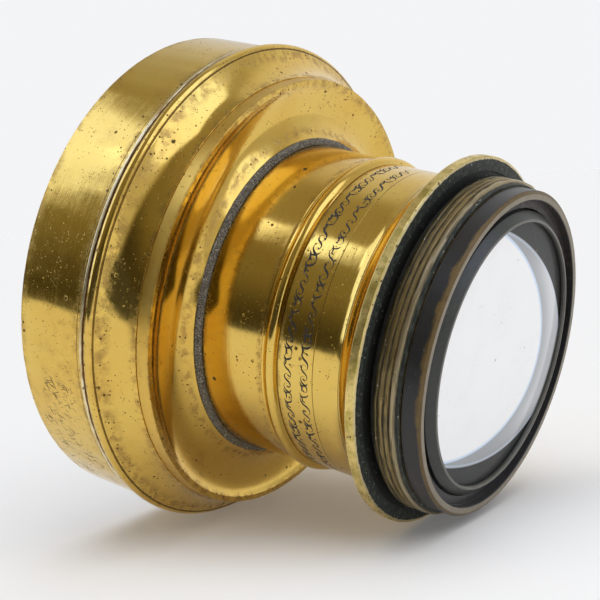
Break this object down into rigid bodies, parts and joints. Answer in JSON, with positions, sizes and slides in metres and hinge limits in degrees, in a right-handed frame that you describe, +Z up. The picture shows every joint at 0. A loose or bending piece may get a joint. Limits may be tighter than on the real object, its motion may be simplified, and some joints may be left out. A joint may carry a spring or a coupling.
{
  "type": "brass portrait lens",
  "caption": "Stepped brass camera lens lying on its side: wide hood drum, dished shoulder, straight neck with a bead, mounting flange, thread and black rear cell.",
  "frame": {"origin": "centre of the bottom of the bounding box: the table under the lens, which rests on its shoulder lip and its flange rim", "axes": "+Z up from the table; +X is the horizontal direction of the optical axis towards the small rear end, and the axis dips below +X by 16.3 degrees; +Y completes a right-handed frame"},
  "size_m": [0.0962, 0.1004, 0.1002],
  "materials": {
    "lacquered_brass": "aged gold lacquer over polished turned brass, small dark pits and fine turning lines",
    "bright_seam": "bare bright edge of a thin brass ring",
    "worn_flange_brass": "worn brown-gold brass with a blacked rear face",
    "tarnished_thread_brass": "tarnished thread, brass showing on the crests",
    "blacked_brass": "satin blacking over brass, worn to metal on the edges",
    "lead_solder": null,
    "optical_glass": "clear old optical glass with dust and fine scratches"
  },
  "bodies": {
    "barrel": {"shoulder_ring": "lacquered_brass", "hood_seam_ring": "bright_seam", "neck_dish": "lacquered_brass", "neck_solder_ring": "lead_solder", "neck_tube": "lacquered_brass", "neck_bead_ring": "lacquered_brass", "engraved_barrel": "lacquered_brass", "central_stop": "blacked_brass", "rear_baffle": "blacked_brass", "mount_flange": "worn_flange_brass", "mount_thread_sleeve": "tarnished_thread_brass"},
    "front_glasses": {"front_crown_glass": "optical_glass", "front_flint_glass": "optical_glass"},
    "front_cell_group": {"front_hood": "lacquered_brass", "front_cell": "blacked_brass", "front_retaining_ring": "blacked_brass"},
    "rear_glasses": {"rear_crown_glass": "optical_glass", "rear_flint_glass": "optical_glass", "rear_spacer_ring": "blacked_brass"},
    "rear_cell_group": {"rear_cell": "blacked_brass", "rear_retaining_ring": "blacked_brass"}
  },
  "joints": [
    {"name": "front_cell_travel", "type": "slide", "parent": "barrel", "child": "front_glasses", "axis": [-0.9597, 0, 0.2811], "range_m": [0, 0.00501]},
    {"name": "front_cell_turn", "type": "hinge", "parent": "front_glasses", "child": "front_cell_group", "pos_m": [-0.01902, 0, 0.04857], "axis": [-0.9597, 0, 0.2811], "range_deg": [0, 1800]},
    {"name": "rear_cell_travel", "type": "slide", "parent": "barrel", "child": "rear_glasses", "axis": [0.9597, 0, -0.2811], "range_m": [0, 0.00501]},
    {"name": "rear_cell_turn", "type": "hinge", "parent": "rear_glasses", "child": "rear_cell_group", "pos_m": [0.03568, 0, 0.03255], "axis": [0.9597, 0, -0.2811], "range_deg": [0, 1800]}
  ],
  "couplings": [
    {"joint": "front_cell_travel", "follows": "front_cell_turn", "m_per_rad": 0.00015915},
    {"joint": "rear_cell_travel", "follows": "rear_cell_turn", "m_per_rad": 0.00015915}
  ]
}
